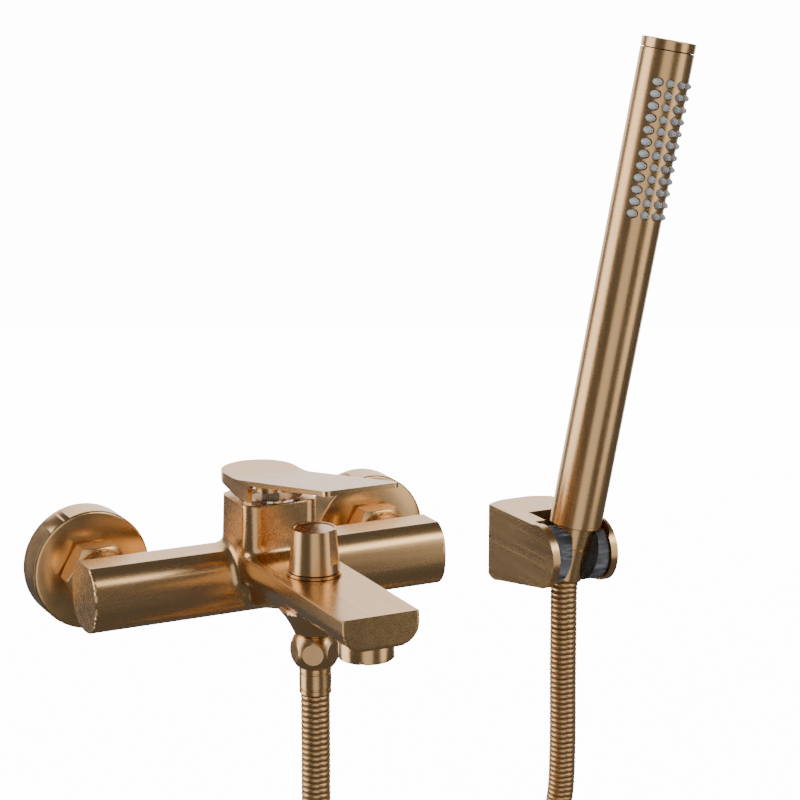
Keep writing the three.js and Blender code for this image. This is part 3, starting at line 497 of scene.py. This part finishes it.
def ridged_tube(name, route):
    """A tube of wound metal along a route: a round ridge for each turn of the winding."""
    total = sum((q - p).length for p, q in zip(route, route[1:]))
    ridges = round(total / RIDGE_PITCH)
    rings = [(i + phase, radius, crest) for i in range(ridges) for phase, radius, crest in RIDGE]
    rings.append((ridges, *RIDGE[0][1:]))
    lengths = [0.0]
    for p, q in zip(route, route[1:]):
        lengths.append(lengths[-1] + (q - p).length)
    verts, crests, at = [], [], 0
    side = Vector((1, 0, 0))
    for turn_number, radius, crest in rings:
        want = min(total * turn_number / ridges, total)
        while at < len(route) - 2 and lengths[at + 1] < want:
            at += 1
        p, q = route[at], route[at + 1]
        share = (want - lengths[at]) / (q - p).length
        before, after = route[max(at - 1, 0)], route[min(at + 2, len(route) - 1)]
        heading = ((q - before).lerp(after - p, share)).normalized()
        side = (side - heading * side.dot(heading)).normalized()
        other = heading.cross(side)
        centre = p.lerp(q, share)
        for k in range(HOSE_SIDES):
            t = TURN * k / HOSE_SIDES
            verts.append(centre + (side * math.cos(t) + other * math.sin(t)) * radius * HOSE_RADIUS)
            crests.append(crest)
    faces = [
        (r * HOSE_SIDES + k, r * HOSE_SIDES + (k + 1) % HOSE_SIDES,
         (r + 1) * HOSE_SIDES + (k + 1) % HOSE_SIDES, (r + 1) * HOSE_SIDES + k)
        for r in range(len(rings) - 1) for k in range(HOSE_SIDES)]
    last = (len(rings) - 1) * HOSE_SIDES
    faces += [tuple(range(HOSE_SIDES))[::-1], tuple(last + k for k in range(HOSE_SIDES))]
    mesh = bpy.data.meshes.new(name)
    mesh.from_pydata(verts, [], faces)
    # The crest attribute masks the painted shade in the hose's grooves
    mesh.attributes.new("crest", "FLOAT", "POINT").data.foreach_set("value", crests)
    mesh.polygons.foreach_set("use_smooth", [True] * len(mesh.polygons))
    piece = bpy.data.objects.new(name, mesh)
    bpy.context.scene.collection.objects.link(piece)
    return made_of(piece, winding)


def hose():
    down = [Vector(p) * mm for p in mixer_leg]
    up = [Vector(p) * mm for p in reversed(shower_leg)]
    route, length = smooth_route(down + coil_points() + up, 2 * mm)
    top_steps = round(HOSE_TOP_LENGTH / (length / (len(route) - 1)))
    lower, upper = route[:-top_steps], route[-top_steps - 1:]
    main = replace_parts(ridged_tube("hose", lower), "hose_mixer_leg", "hose_coil", "hose_shower_leg")
    top = ridged_tube("hose_top", upper)
    joint = lower[-1]
    joint - Vector((54.6, 0, 27.3)) * mm
    joint - Vector((0, 0, 4)) * mm
    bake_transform(main)
    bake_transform(top)


hose()


# ---- Mixer body ----

BAR_OUT = 52
BAR_Z = -1.5
BAR_HALF_DEPTH = 16.3
BAR_HALF_HEIGHT = 17
BAR_SQUARENESS = 2.5
BAR_TOP = 14.3
SPOUT_HALF = 19
SPOUT_FLOOR = -1.2
SPOUT_CORNER = 10
TOWER_FRONT = 78
TOWER_BACK = 40
TOWER_LEAN = 4
TOWER_CORNER = 7
NECK_FOOT = nut_high.z + 0.3
VOXEL = 0.75
FILLET_ROUNDS = 110
STILL = 2e-3
UNMOVED = 0.05
NECK_FLARE = [(12, 5), (14.2, 8.6), (17.2, 12.4)]
WEB_INSET = 5


def bar():
    power = 2 / BAR_SQUARENESS
    outline = []
    for i in range(144):
        c, s = math.cos(TURN * i / 144), math.sin(TURN * i / 144)
        outline.append((-BAR_OUT + BAR_HALF_DEPTH * math.copysign(abs(c) ** power, c),
                        BAR_Z + BAR_HALF_HEIGHT * math.copysign(abs(s) ** power, s)))
    whole = placed(drawn(outline, 2 * BAR_HALF), ALONG_X, move(z=-BAR_HALF))
    return cut(whole, box(-99, 99, -99, 0, BAR_TOP, 99))


def tower():
    half = SPOUT_HALF
    bm = drawn(rounded(-half, half, -TOWER_FRONT, -TOWER_BACK, TOWER_CORNER), TOWER_TOP)
    for v in bm.verts:
        back = (v.co.y + TOWER_FRONT) / (TOWER_FRONT - TOWER_BACK)
        v.co.y -= TOWER_LEAN * back * v.co.z / TOWER_TOP
    return bm


def spout():
    half, r = SPOUT_HALF, SPOUT_CORNER
    section = ([(half, BAR_TOP), (-half, BAR_TOP)] + arc(-half + r, SPOUT_FLOOR + r, r, 180, 270, 12)
               + arc(half - r, SPOUT_FLOOR + r, r, 270, 360, 12))
    return placed(drawn(section, SPOUT_END - BAR_OUT), move(y=-BAR_OUT), OUTWARD)


def neck():
    flare = [(r, NECK_FOOT + up) for r, up in NECK_FLARE]
    return placed(spun([(0, NECK_FOOT), (9.6, NECK_FOOT), *flare, (0, SPOUT_FLOOR + 3)]), move(y=KNOB_Y))


def root_web():
    """The web under the spout's root, which runs out of the bar's underside."""
    half = SPOUT_HALF - WEB_INSET
    foot = Vector((-BAR_OUT, BAR_Z - BAR_HALF_HEIGHT + 4))
    bend = Vector((-BAR_OUT - BAR_HALF_DEPTH - 4, BAR_Z - BAR_HALF_HEIGHT + 6))
    tip = Vector((KNOB_Y, SPOUT_FLOOR))
    shares = [i / 16 for i in range(17)]
    curve = [foot * (1 - t) ** 2 + bend * 2 * t * (1 - t) + tip * t**2 for t in shares]
    side = [(-BAR_OUT, SPOUT_FLOOR + 5), *[tuple(p) for p in curve], (KNOB_Y, SPOUT_FLOOR + 5)]
    return placed(drawn(side, 2 * half), move(x=-half), ALONG_X)


def collar(x):
    return placed(disc(13.5, COLLAR_FACE, BAR_OUT), move(x=x), OUTWARD)


def filleted(bm, voxel, rounds):
    """Evenly meshed, its outer edges kept, and its hollow corners filled to a soft radius."""
    exact = BVHTree.FromBMesh(bm)
    applied(bm, ("REMESH", {"mode": "VOXEL", "voxel_size": voxel, "use_smooth_shade": True}))
    for v in bm.verts:
        v.co = exact.find_nearest(v.co)[0]
    bm.normal_update()
    exact_places = [v.co.copy() for v in bm.verts]
    normals = [v.normal.copy() for v in bm.verts]
    for _ in range(rounds):
        before = [v.co.copy() for v in bm.verts]
        bmesh.ops.smooth_vert(bm, verts=bm.verts, factor=0.5, use_axis_x=True, use_axis_y=True, use_axis_z=True)
        for v, was, normal in zip(bm.verts, before, normals):
            if (v.co - was).dot(normal) <= STILL:
                v.co = was
    for v, place in zip(bm.verts, exact_places):
        if (v.co - place).length < UNMOVED:
            v.co = place
    return bm


def mixer_body():
    bm = bar()
    for part in (spout(), tower(), root_web(), neck(), collar(-INLET_X), collar(INLET_X)):
        cut(bm, part, "UNION")
    filleted(bm, VOXEL, FILLET_ROUNDS)
    made_of(sharp_by_angle(finished("mixer_shell", bm, "mixer", "mixer_body"), 38), body_bronze)


# ---- Wall connections ----

def wall_rose(side, x):
    depth, r = 17.7, 29.5
    bm = spun([
        (r - 1.6, 0.2), (r, 0.2), (r, depth - 1.5), (r - 0.25, depth - 1.1), (r - 0.8, depth - 0.75),
        (r - 1.6, depth - 0.6), (22, depth - 0.12), (16, depth), (14.2, depth), (13.6, depth - 0.6),
        (13.6, depth - 1.9), (26, depth - 2.6), (r - 1.6, depth - 4)], 160)
    placed(bm, move(x=x), OUTWARD)
    piece = finished(side + "_rose", bm, "mixer", side + "_wall_rose")
    made_of(sharp_by_angle(piece), bronze_even)


def hex_nut(flats, z0, z1, chamfer, bore):
    """A hexagon nut, its corners turned off at both ends, and bored."""
    r = flats / math.sqrt(3)
    bm = drawn([(r * math.cos(t), r * math.sin(t)) for t in (TURN * (i + 0.5) / 6 for i in range(6))], z1 - z0)
    placed(bm, move(z=z0))
    rise = (r - flats / 2 + chamfer) * 0.58
    turned = spun([
        (0, z0), (flats / 2 - chamfer, z0), (r + 0.3, z0 + rise + 0.17), (r + 0.3, z1 - rise - 0.17),
        (flats / 2 - chamfer, z1), (0, z1)], 96)
    cut(bm, turned, "INTERSECT")
    return cut(bm, disc(bore, z0 - 1, z1 + 1, 96))


def sharp_by_angle(piece, degrees=32):
    """Smooth shading, broken where faces meet at more than an angle."""
    piece.data.set_sharp_from_angle(angle=math.radians(degrees))
    return piece


def union_nut(side, x):
    low, high = span(side + "_union_nut")
    bm = placed(hex_nut(30, -high.y, -low.y, 0.6, 12.6), move(x=x), OUTWARD, turn(30, "Z"))
    made_of(bevelled(finished(side + "_nut", bm, "mixer", side + "_union_nut"), 0.4 * mm, 3, 25), bronze_even)


# ---- Lever ----

LEVER_PLACE = (move(y=-62.5, z=30),)
LEVER_HALF = 18.5
LEVER_BACK = 32
LEVER_TIP = 103
LEVER_SLOPE = math.tan(math.radians(10.5))
BEND = 7
HEAD_TOP = 19.7
PLATE = 2.4
SKIRT_FOOT = 11.8
SKIRT_RISE = math.tan(math.radians(9))
SKIRT_FRONT = 15.5
SKIRT_ARCH = 5
SKIRT_WALL = 2.2
HUB_R = 7.5
HUB_FOOT = 12.6


def lever_plan(inset):
    """The lever's plan, drawn in from its edge: round behind, with small corners at the tip."""
    half, c = LEVER_HALF - inset, 3
    outline = (arc(0, LEVER_BACK - LEVER_HALF, half, 0, 180, 64)
               + arc(-half + c, -LEVER_TIP + c, c, 180, 270, 6) + arc(half - c, -LEVER_TIP + c, c, 270, 360, 6))
    return drawn(outline, 2 * LEVER_TIP)


def paddle_rise(y):
    """How far the paddle has risen at a place: level behind the axis, bent softly, and sloping ahead of it."""
    if y >= BEND:
        return 0
    if y <= -BEND:
        return -y * LEVER_SLOPE
    return LEVER_SLOPE * (BEND - y) ** 2 / (4 * BEND)


def lever():
    half = LEVER_HALF + 1
    ways = [LEVER_BACK, *[BEND - i for i in range(2 * BEND + 1)], -LEVER_TIP]
    top = [(y, HEAD_TOP + paddle_rise(y)) for y in ways]
    bm = placed(drawn(top + [(y, z - PLATE) for y, z in reversed(top)], 2 * half), move(x=-half), ALONG_X)
    cut(bm, lever_plan(0), "INTERSECT")
    into = HEAD_TOP - PLATE / 2
    front = -SKIRT_FRONT - SKIRT_ARCH
    arch = into + paddle_rise(front)
    side = [(LEVER_BACK, into), (0, into), (front, arch)]
    side += arc(front, arch - 1.2 - SKIRT_ARCH, SKIRT_ARCH, 90, 0, 8)
    side += [(-SKIRT_FRONT, SKIRT_FOOT), (0, SKIRT_FOOT), (LEVER_BACK, SKIRT_FOOT + LEVER_BACK * SKIRT_RISE)]
    skirt = placed(drawn(side, 2 * half), move(x=-half), ALONG_X)
    cut(skirt, lever_plan(0), "INTERSECT")
    cut(skirt, lever_plan(SKIRT_WALL))
    cut(bm, skirt, "UNION")
    cut(bm, disc(HUB_R, HUB_FOOT, into), "UNION")
    placed(bm, *LEVER_PLACE)
    bevelled(made_of(finished("lever_paddle", bm, "lever", "lever_handle"), bronze_outward), 0.55 * mm)


# ---- Diverter knob ----

KNOB_FOOT_R = 12
KNOB_TOP_R = 10.4
KNOB_RIM = 0.9


def diverter():
    low, high = span("diverter_knob")
    dish = high.z - 0.4
    knob = spun([
        (0, low.z), (KNOB_FOOT_R, low.z), (KNOB_TOP_R, high.z), (KNOB_TOP_R - KNOB_RIM, high.z),
        (KNOB_TOP_R - KNOB_RIM - 0.3, dish), (0, dish)], 128)
    cut(knob, box(3, 14, -14, -7.6, low.z + 4.4, high.z + 1))
    placed(knob, move(y=KNOB_Y))
    bevelled(made_of(finished("knob", knob, "diverter", "diverter_knob"), bronze_upright), 0.35 * mm)
    low, high = span("diverter_ring")
    r = (high.x - low.x) / 2
    groove = low.z + 0.45
    ring = spun([
        (4.5, low.z), (r, low.z), (r, groove), (r - 0.3, groove + 0.1), (r - 0.3, groove + 0.3), (r, groove + 0.4),
        (r, high.z - 0.2), (r - 0.2, high.z), (4.5, high.z)], 128)
    placed(ring, move(y=KNOB_Y))
    made_of(sharp_by_angle(finished("knob_ring", ring, "mixer", "diverter_ring")), bronze_even)


# ---- Aerator and hose outlet ----

def aerator():
    low, high = span("aerator_housing")
    r = 12.7
    bm = spun([
        (9.5, low.z), (r - 0.5, low.z), (r, low.z + 0.5), (r, SPOUT_FLOOR - 1), (r - 0.4, SPOUT_FLOOR - 0.3),
        (10.3, SPOUT_FLOOR - 0.3), (10.3, high.z), (8.5, high.z), (8.5, low.z + 3), (9.5, low.z + 2.6)], 128)
    cut(bm, placed(box(r - 1.2, r + 1, -1.1, 1.1, low.z - 1, low.z + 1.6), turn(-125, "Z")))
    placed(bm, move(y=AERATOR_Y))
    made_of(sharp_by_angle(finished("aerator_ring", bm, "mixer", "aerator_housing")), bronze_even)
    low, high = span("aerator_insert")
    face = disc(8.2, low.z, high.z, 96)
    for ring_r, count in ((3.6, 10), (6.1, 18)):
        for i in range(count):
            slot = placed(box(-0.9, 0.9, -0.45, 0.45, low.z - 1, low.z + 1.6), turn(360 * i / count, "Z"), move(x=ring_r))
            cut(face, slot)
    placed(face, move(y=AERATOR_Y))
    made_of(finished("stream_former", face, "mixer", "aerator_insert", smooth=False), grey_plastic)


NUT_FLATS = 21.4
NUT_BALL_R = 11.8


def hose_outlet():
    """The nut's corners are turned off to a ball, so that each flat ends in a round edge."""
    bm = hex_nut(NUT_FLATS, nut_low.z, nut_high.z, 0.4, 6.2)
    half = (nut_high.z - nut_low.z) / 2
    reach = math.degrees(math.asin(half / NUT_BALL_R))
    ball = arc(0, (nut_low.z + nut_high.z) / 2, NUT_BALL_R, -reach, reach, 24)
    cut(bm, spun([(0, nut_low.z), *ball, (0, nut_high.z)], 96), "INTERSECT")
    placed(bm, move(y=KNOB_Y))
    made_of(sharp_by_angle(finished("outlet_nut", bm, "mixer", "hose_nut"), 20), bronze_upright)
    foot, top, r = span("hose_ferrule")[0].z, nut_low.z - 0.3, 7.6
    profile = [(4.5, foot), (r - 0.5, foot), (r, foot + 0.5)]
    for groove in (foot + 2.2, top - 3.4):
        profile += [(r, groove), (r - 0.35, groove + 0.3), (r - 0.35, groove + 0.9), (r, groove + 1.2)]
    profile += [(r, top - 0.4), (r - 0.4, top), (4.5, top)]
    made_of(sharp_by_angle(finished("ferrule", placed(spun(profile, 96), move(y=KNOB_Y)), "mixer", "hose_ferrule")),
            bronze_upright)


# ---- Wall bracket ----

bracket_low, bracket_high = span("bracket_shell")
BRACKET_HALF = (bracket_high.x - bracket_low.x) / 2
CHEEK = 4
CHEEK_R = 16.5
TILT_REACH = 29.5
RUN = 0.5
BULGE_R = 31.2
HOLDER_HALF = BRACKET_HALF - CHEEK - RUN
BARREL_R = 13.4
BARREL_WALL = 1.4
BARREL_FOOT = 15
BARREL_TOP = 265


def bracket():
    out, z = TILT.y, TILT.z
    top, foot, c = 2.6, bracket_low.z, 12
    side = ([(0, top), (out + 6, top + 1)] + arc(out, z, CHEEK_R, 72, 250, 48)
            + arc(-c, foot + c, c, 250, 360, 20))
    bm = placed(drawn(side, 2 * BRACKET_HALF), move(x=BRACKET_X - BRACKET_HALF), ALONG_X)
    reach = math.degrees(math.asin(BRACKET_HALF / BULGE_R))
    plan = ([(-BRACKET_HALF, out - 30), (BRACKET_HALF, out - 30)]
            + arc(0, 0.8 - BULGE_R, BULGE_R, 90 - reach, 90 + reach, 32))
    cut(bm, placed(drawn(plan, 90), move(x=BRACKET_X, z=-60)), "INTERSECT")
    x, i, t, p = BRACKET_X, BRACKET_HALF - CHEEK, 8.7, BRACKET_HALF - 7
    cut(bm, box(x - i, x + i, -100, -39, -60, top - 2.2))
    cut(bm, box(x - i, x + i, -100, -48, -60, 20))
    cut(bm, box(x - t, x + t, -100, -30, -60, 20))
    cut(bm, placed(disc(CHEEK_R - 0.3, -i, i, 96), move(x, out, z), turn(90, "Y")))
    cut(bm, box(x - p, x + p, -24, 1, foot + 9, top - 3))
    for step in range(7):
        room = disc(BARREL_R + RUN, BARREL_FOOT - 1.5, BARREL_FOOT + 30, 96)
        cut(bm, placed(room, move(*TILT), turn(TILT_REACH * step / 6, "X"), turn(SWAY, "Y")))
    bevelled(made_of(finished("bracket_cover", bm, "mixer", "bracket_shell"), bronze_outward), 0.7 * mm)


def holder():
    far, foot_r, head_r = 17, 8.07, 10.9
    sway = turn(SWAY, "Y")
    bm = placed(disc(15, -HOLDER_HALF, HOLDER_HALF, 96), turn(90, "Y"))
    cut(bm, placed(spun([(0, -far), (foot_r, -far), (head_r, far), (0, far)], 96), sway))
    cut(bm, placed(box(-7.5, 7.5, -far, 0, -far, far), sway))
    cut(bm, placed(disc(BARREL_R + RUN, BARREL_FOOT - RUN, far + 20, 96), sway))
    for end in (-1, 1):
        cut(bm, placed(disc(2.3, HOLDER_HALF - 2.8, HOLDER_HALF + 1, 32), turn(90 * end, "Y")))
    placed(bm, *HOLDER_PLACE)
    bevelled(made_of(finished("holder_cradle", bm, "holder", "holder_insert"), grey_plastic), 0.5 * mm)


# ---- Hand shower ----

CAP = 5
NOZZLE_ROWS = 12
NOZZLE_COLUMNS = 4
NOZZLE_PITCH = 6
NOZZLE_SPREAD = 26.7
NOZZLE_TOP = 21
NOZZLE_R = 2
NOZZLE_TIP_R = 1.1
NOZZLE_ROOT = 5.2
NOZZLE_REACH = 2.6
FLARE = 0.35  # the barrel's growth from its foot to its top


def nozzle_places():
    """Places on the barrel's front, +Z pointing straight ahead from its outside."""
    places = []
    for row in range(NOZZLE_ROWS):
        for column in range(NOZZLE_COLUMNS):
            t = math.radians((column - 1.5) * NOZZLE_SPREAD)
            place = move(BARREL_R * math.sin(t), -BARREL_R * math.cos(t), BARREL_TOP - NOZZLE_TOP - row * NOZZLE_PITCH)
            places.append(place @ OUTWARD)
    return places


def barrel():
    r, inside, top = BARREL_R, BARREL_R - BARREL_WALL, BARREL_TOP - CAP - 0.3
    bm = spun([(7.4, BARREL_FOOT), (r, BARREL_FOOT), (r + FLARE, top), (inside, top), (inside, BARREL_FOOT + 8),
               (7.4, BARREL_FOOT + 8)], 128)
    holes = bmesh.new()
    for place in nozzle_places():
        merged(holes, placed(disc(NOZZLE_R + 0.3, -NOZZLE_ROOT - 1, NOZZLE_REACH + 1, 24), place))
    cut(bm, holes)
    placed(bm, *SHOWER_PLACE)
    bevelled(made_of(finished("shower_barrel", bm, "handset", "barrel"), bronze_upright), 0.25 * mm, 3, 40)


def end_cap():
    r, foot = BARREL_R + FLARE, BARREL_TOP - CAP
    bm = spun([
        (0, foot - 4), (BARREL_R - 1.7, foot - 4), (BARREL_R - 1.7, foot), (r, foot), (r, BARREL_TOP), (0, BARREL_TOP)], 128)
    placed(bm, *SHOWER_PLACE)
    bevelled(made_of(finished("shower_cap", bm, "handset", "end_cap"), bronze_even), 0.4 * mm)


def nozzles():
    outer = BARREL_R - BARREL_WALL - 0.3
    reach = 1.5 * NOZZLE_SPREAD + 24
    foot = BARREL_TOP - NOZZLE_TOP - (NOZZLE_ROWS - 1) * NOZZLE_PITCH - 8
    strip = arc(0, 0, outer, -90 - reach, -90 + reach, 32) + arc(0, 0, outer - 1.6, -90 + reach, -90 - reach, 32)
    bm = placed(drawn(strip, BARREL_TOP - NOZZLE_TOP + 8 - foot), move(z=foot))
    tip = NOZZLE_REACH + 0.2
    for place in nozzle_places():
        stub = spun([
            (0, -NOZZLE_ROOT), (NOZZLE_R, -NOZZLE_ROOT), (NOZZLE_R, 0), (NOZZLE_TIP_R + 0.15, tip - 0.4),
            (NOZZLE_TIP_R - 0.15, tip), (0.45, tip), (0.4, tip - 1.2), (0, tip - 1.2)], 16)
        merged(bm, placed(stub, place))
    placed(bm, *SHOWER_PLACE)
    made_of(sharp_by_angle(finished("nozzle_strip", bm, "handset", "nozzle_mat"), 50), silicone)


def cone_nut():
    foot, top, r0, r1 = -14, 14.5, 8.3, 10.6
    seam = 3.2

    def radius(z):
        return r0 + (r1 - r0) * (z - foot) / (top - foot)
    bm = spun([
        (6.2, foot), (r0 - 0.5, foot), (radius(foot + 0.5), foot + 0.5), (radius(seam - 0.3), seam - 0.3),
        (radius(seam) - 0.35, seam), (radius(seam) - 0.35, seam + 0.3), (radius(seam + 0.6), seam + 0.6),
        (radius(top - 0.4), top - 0.4), (r1 - 0.4, top), (7.4, top), (7.4, 5.4), (6.2, 5.4)], 128)
    placed(bm, *SHOWER_PLACE)
    made_of(sharp_by_angle(finished("shower_cone", bm, "handset", "cone_nut")), bronze_upright)


# ---- Small pieces that keep their own shape ----

PLAIN = {
    black_plastic: ("cartridge_case", "cartridge_rotor", "diverter_case"),
    black_rubber: ("left_inlet_gasket", "right_inlet_gasket", "hose_gasket", "cone_gasket", "coil_tie_top",
                   "coil_tie_bottom", "lever_screw_plug"),
    bronze_even: ("left_wall_union", "right_wall_union", "cartridge_nut", "shower_socket"),
    chrome: ("dress_ring",),
    steel: ("cartridge_stem", "lever_set_screw", "diverter_spindle", "bracket_wall_plate", "upper_bracket_screw",
            "lower_bracket_screw", "left_pivot_pin", "right_pivot_pin", "swivel_ball", "hose_end_sleeve"),
    grey_plastic: ("water_tube", "upper_wall_plug", "lower_wall_plug"),
}


# ---- Studio ----

FLOOR_Z = -0.34


def studio_floor():
    bm = bmesh.new()
    bmesh.ops.create_grid(bm, x_segments=1, y_segments=1, size=12)
    bmesh.ops.translate(bm, verts=bm.verts, vec=(0, 0, FLOOR_Z))
    mesh = bpy.data.meshes.new("floor")
    bm.to_mesh(mesh)
    bm.free()
    floor = bpy.data.objects.new("floor", mesh)
    bpy.context.scene.collection.objects.link(floor)
    look = bpy.data.materials.new("floor")
    look.use_nodes = True
    shader = look.node_tree.nodes["Principled BSDF"]
    shader.inputs["Base Color"].default_value = (0.9, 0.9, 0.9, 1)
    shader.inputs["Roughness"].default_value = 0.9
    shader.inputs["Emission Color"].default_value = (1, 1, 1, 1)
    shader.inputs["Emission Strength"].default_value = 14
    mesh.materials.append(look)
    floor.visible_glossy = False
    floor.visible_diffuse = False


def softbox(name, azimuth, elevation, distance, width, height, level, colour=(1, 1, 1)):
    """An even rectangular light, placed by its direction from the object, azimuth 0 being straight out of the wall."""
    a, e = math.radians(azimuth), math.radians(elevation)
    away = Vector((math.sin(a) * math.cos(e), -math.cos(a) * math.cos(e), math.sin(e)))
    data = bpy.data.lights.new(name, "AREA")
    data.shape = "RECTANGLE"
    data.size, data.size_y = width, height
    data.energy = level * math.pi * width * height
    data.color = colour
    light = bpy.data.objects.new(name, data)
    light.location = away * distance + Vector((0.05, -0.08, 0.05))
    light.rotation_euler = away.to_track_quat("Z", "Y").to_euler()
    light.visible_camera = False
    bpy.context.scene.collection.objects.link(light)


def studio():
    studio_floor()
    softbox("left_box", -118, 8, 1.8, 1.5, 2.4, 2.6, (1, 0.97, 0.95))
    softbox("front_left_box", -21, 4, 1.9, 1.3, 2.6, 0.8, (1, 0.98, 0.95))
    softbox("right_box", 44, 14, 1.8, 0.9, 2.4, 1.3, (1, 0.97, 0.93))
    softbox("high_right_box", 33, 34, 1.8, 0.9, 0.5, 3.2)
    softbox("back_box", 154, 6, 2.2, 3.6, 2.2, 1.7, (1, 0.97, 0.94))
    world = bpy.data.worlds.new("studio")
    world.use_nodes = True
    world.node_tree.nodes["Background"].inputs["Color"].default_value = (0.9, 0.93, 1.0, 1)
    world.node_tree.nodes["Background"].inputs["Strength"].default_value = 0.12
    bpy.context.scene.world = world


mixer_body()
for side, x in (("left", -INLET_X), ("right", INLET_X)):
    wall_rose(side, x)
    union_nut(side, x)
lever()
diverter()
aerator()
hose_outlet()
bracket()
holder()
barrel()
end_cap()
nozzles()
cone_nut()
for look, nodes in PLAIN.items():
    for node in nodes:
        made_of(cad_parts[node], look)
studio()
